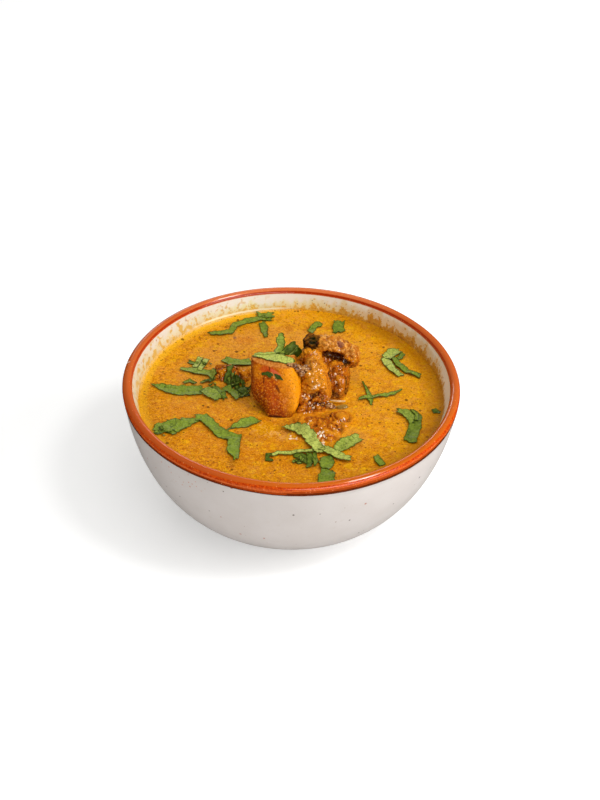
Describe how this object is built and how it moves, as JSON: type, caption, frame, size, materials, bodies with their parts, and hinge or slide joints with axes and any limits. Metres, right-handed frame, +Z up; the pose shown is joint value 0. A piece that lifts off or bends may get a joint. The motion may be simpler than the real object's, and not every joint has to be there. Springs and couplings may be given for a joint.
{
  "type": "bowl of mutton curry",
  "caption": "Round stoneware serving bowl with a banded rim, filled with thick golden mutton and potato curry and scattered with chopped green herb.",
  "frame": {"origin": "centre of the bowl's foot, on the table", "axes": "+Z up through the bowl, -Y towards the side of the bowl from which the potato and the meat lean back, +X to the right seen from there"},
  "size_m": [0.156, 0.156, 0.0787],
  "materials": {
    "bowl_glaze": "gloss",
    "gravy": "satin",
    "potato": "satin",
    "mutton": "satin",
    "herb": "satin",
    "char": "satin"
  },
  "bodies": {
    "root": {"bowl": "bowl_glaze", "gravy": "gravy", "potato": "potato", "mutton_on_bone": "mutton", "mutton_front": "mutton", "mutton_left": "mutton"}
  },
  "joints": []
}
